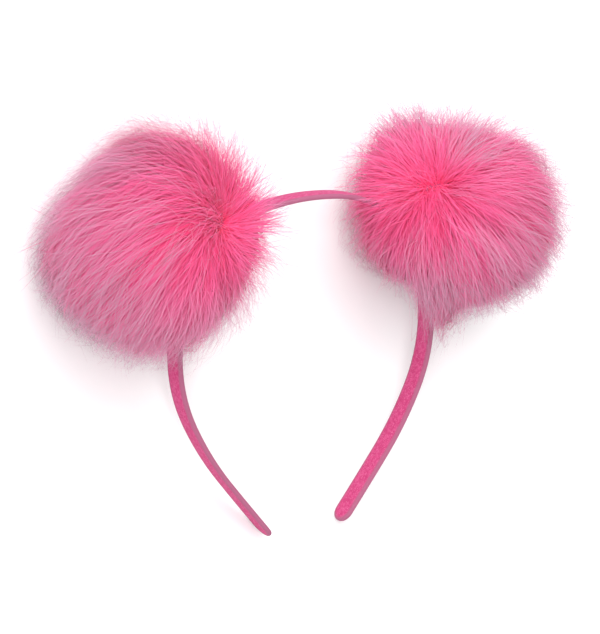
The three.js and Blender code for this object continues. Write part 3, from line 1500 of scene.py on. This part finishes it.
def left_pompom(route: Route, rest: Rest) -> Pompom:
    """Describes the left pompom, whose hair sweeps from its inner side.

    Args:
        route: The band's route.
        rest: How the headband lies.

    Returns:
        The pompom, not yet built.
    """
    parting = ((0.36, 0.33, 0.87), (0.4, 0.36, 0.84))
    return Pompom(
        name="pompom_left",
        route=route,
        rest=rest,
        seat=-57.0,
        reach=46.3,
        core=21.0,
        flow=Flow(parting, droop=(-0.39, -0.92, 0.04), swirl=22.0),
        swells=(
            Spot(-0.62, 0.54, -0.57, -0.17, 25),
            Spot(-0.77, 0.25, -0.58, -0.06, 14),
            Spot(-0.05, 0.94, -0.33, 0.11, 13),
            Spot(0.48, 0.87, 0.03, 0.17, 28),
            Spot(0.84, 0.33, 0.43, 0.08, 34),
            Spot(0.85, 0.26, 0.46, 0.09, 11),
            Spot(0.8, 0.48, 0.36, -0.08, 10),
            Spot(0.54, -0.62, 0.56, -0.09, 26),
            Spot(-0.64, -0.76, -0.16, -0.075, 32),
            Spot(0.36, 0.34, 0.87, -0.09, 20),
            Spot(-0.1, 0.3, 0.95, -0.03, 40),
        ),
        # tone patches: partly the fur's own uneven tone, partly painted light, paler towards the
        # top and deeper low down where shade falls
        tone_and_light_spots=(
            Spot(-0.76, 0.23, 0.61, 0.25, 13),
            Spot(-0.79, -0.22, 0.58, -0.35, 11),
            Spot(-0.96, 0.1, 0.22, -0.15, 20),
            Spot(0.09, -0.1, 0.99, -0.28, 13),
            Spot(-0.48, 0.22, 0.85, -0.22, 9),
            Spot(-0.6, 0.0, 0.8, 0.2, 8),
            Spot(-0.15, 0.8, 0.55, 0.12, 22),
        ),
        valleys=(
            Valley((-0.34, 0.83, 0.45), (-0.04, 0.63, 0.77), 0.08, 4),
            Valley((-0.48, 0.22, 0.85), (-0.81, -0.28, 0.51), 0.13, 4.5),
            Valley((0.1, 0.11, 0.99), (0.19, -0.4, 0.9), 0.12, 4),
            Valley((-0.33, 0.08, 0.94), (-0.46, -0.37, 0.81), 0.1, 4),
            Valley((-0.76, 0.52, 0.39), (-0.41, 0.59, 0.69), 0.07, 4.5),
        ),
        seed=11,
    )


def right_pompom(route: Route, rest: Rest) -> Pompom:
    """Describes the right pompom, with a lock that hangs beside the band.

    Args:
        route: The band's route.
        rest: How the headband lies.

    Returns:
        The pompom, not yet built.
    """
    parting = ((-0.7, 0.54, 0.47), (-0.6, 0.58, 0.55))
    return Pompom(
        name="pompom_right",
        route=route,
        rest=rest,
        seat=62.5,
        reach=44.7,
        core=20.2,
        flow=Flow(parting, droop=(0.1, -0.98, 0.1), swirl=4.0, droop_share=0.4),
        swells=(
            Spot(-0.65, -0.74, -0.18, -0.17, 30),
            Spot(-0.5, -0.86, -0.03, -0.3, 17),
            Spot(-0.27, -0.87, -0.42, -0.22, 22),
            Spot(-0.31, -0.94, 0.12, 0.4, 12),
            Spot(-0.47, 0.7, -0.54, 0.17, 20),
            Spot(-0.96, 0.24, 0.13, 0.2, 13),
            Spot(-0.15, 0.91, -0.39, 0.06, 16),
            Spot(0.18, 0.95, -0.24, -0.11, 24),
            Spot(0.84, 0.33, 0.43, 0.07, 38),
            Spot(0.15, -0.91, 0.39, -0.13, 22),
            Spot(-0.66, 0.56, 0.5, -0.08, 18),
        ),
        # tone patches: a painted highlight across the top, painted shade on the lower middle and on
        # the rear lobe, and the fur's own uneven tone
        tone_and_light_spots=(
            Spot(0.09, 0.87, 0.49, 0.7, 25),
            Spot(-0.62, 0.0, 0.78, -0.28, 18),
            Spot(-0.25, 0.46, 0.85, 0.28, 10),
            Spot(-0.23, 0.58, 0.78, -0.3, 7),
            Spot(-0.97, -0.24, 0.1, -0.25, 20),
            Spot(-0.81, -0.27, 0.52, 0.3, 10),
        ),
        valleys=(
            Valley((-0.48, 0.49, 0.73), (0.05, 0.64, 0.76), 0.11, 4.5),
            Valley((-0.66, 0.35, 0.66), (-0.6, -0.22, 0.77), 0.14, 4.5),
            Valley((-0.51, 0.28, 0.81), (0.02, -0.05, 1.0), 0.1, 4),
            Valley((-0.75, 0.34, 0.56), (-0.88, -0.09, 0.47), 0.12, 5),
            Valley((-0.54, 0.52, 0.66), (-0.59, 0.78, 0.22), 0.06, 4.5),
        ),
        seed=23,
    )


# The ties


@dataclass
class Ties:
    """The cords that hold the pompoms, which stay as their solids."""

    names: tuple[str, ...] = ("tie_left", "tie_right")
    finish: CordFinish = CordFinish()

    def build(self) -> None:
        """Dresses both ties in twisted cord."""
        material = self.finish.build("tie_cord")
        for name in self.names:
            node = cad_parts[name]
            node.data.materials.clear()
            node.data.materials.append(material)
            log.info("%s dressed", name)


# The studio


class Lamp(NamedTuple):
    """A square soft light over the floor, aimed at the middle, in metres and watts."""

    name: str
    place: Direction
    size: float
    power: float


@dataclass
class Studio:
    """The floor, the lights and the camera.

    The camera's values come from a fit of the flat arch to the photograph: its distance and
    height in millimetres, its focal length and offset in picture points, and the picture's right
    and up in the band's own frame.
    """

    rest: Rest
    arch_height: float = 138.1
    distance: float = 1493.0
    focal: float = 3719.0
    long_side: float = 634.0
    sensor: float = 36.0
    across: Direction = (0.8404, -0.0012, 0.542)
    upward: Direction = (0.1423, 0.9654, -0.2187)
    off_axis: Span = (-1.24, 18.9)
    floor_size: float = 12.0
    surround: float = 0.85
    lamps: tuple[Lamp, ...] = (
        Lamp("key", (-0.2, 1.1, 1.6), 1.6, 22.0),
        Lamp("front", (-1.0, 0.0, 1.8), 0.9, 17.0),
    )

    def build(self) -> None:
        """Sets the scene."""
        self.floor()
        self.lights()
        self.camera()

    def floor(self) -> None:
        """Lays a wide pale floor."""
        bpy.ops.object.select_all(action="DESELECT")
        bpy.ops.mesh.primitive_plane_add(size=self.floor_size)
        floor = bpy.context.active_object
        floor.name = "floor"
        floor.data.materials.append(FloorFinish().build("pale_floor"))

    def lights(self) -> None:
        """Sets large soft lights over the headband, and an even pale surround."""
        for lamp in self.lamps:
            bpy.ops.object.light_add(type="AREA", location=lamp.place)
            light = bpy.context.active_object
            light.name = lamp.name
            light.data.size = lamp.size
            light.data.energy = lamp.power
            light.rotation_euler = (-Vector(lamp.place)).to_track_quat("-Z", "Y").to_euler()
        world = bpy.data.worlds.new("surround")
        world.use_nodes = True
        sky = world.node_tree.nodes["Background"]
        sky.inputs["Color"].default_value = (1, 1, 1, 1)
        sky.inputs["Strength"].default_value = self.surround
        bpy.context.scene.world = world
        bpy.context.scene.view_settings.view_transform = "Standard"

    def camera(self) -> None:
        """Sets the camera at the photo's angle to the headband."""
        axes = self.rest.axes()
        across = axes @ np.array(self.across)
        upward = axes @ np.array(self.upward)
        back = np.cross(across, upward)
        middle = self.rest.place(np.array([[0.0, -self.arch_height / 2, 0.0]]))[0]
        place = middle + back * self.distance
        place = place + across * self.off_axis[0] + upward * self.off_axis[1]
        data = bpy.data.cameras.new("camera")
        data.sensor_width = self.sensor
        data.lens = self.focal / self.long_side * self.sensor
        camera = bpy.data.objects.new("camera", data)
        matrix = Matrix(np.stack([across, upward, back], axis=1).tolist()).to_4x4()
        matrix.translation = Vector(place * MM)
        camera.matrix_world = matrix
        bpy.context.scene.collection.objects.link(camera)
        bpy.context.scene.camera = camera


def main() -> None:
    """Builds the headband, piece by piece, and its studio."""
    logging.basicConfig(level=logging.INFO, format="%(message)s")
    route = Route()
    rest = Rest.of_band(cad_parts["band"])
    Band(route, rest).build()
    left_pompom(route, rest).build()
    right_pompom(route, rest).build()
    Ties().build()
    Studio(rest).build()


if __name__ == "__main__":
    main()
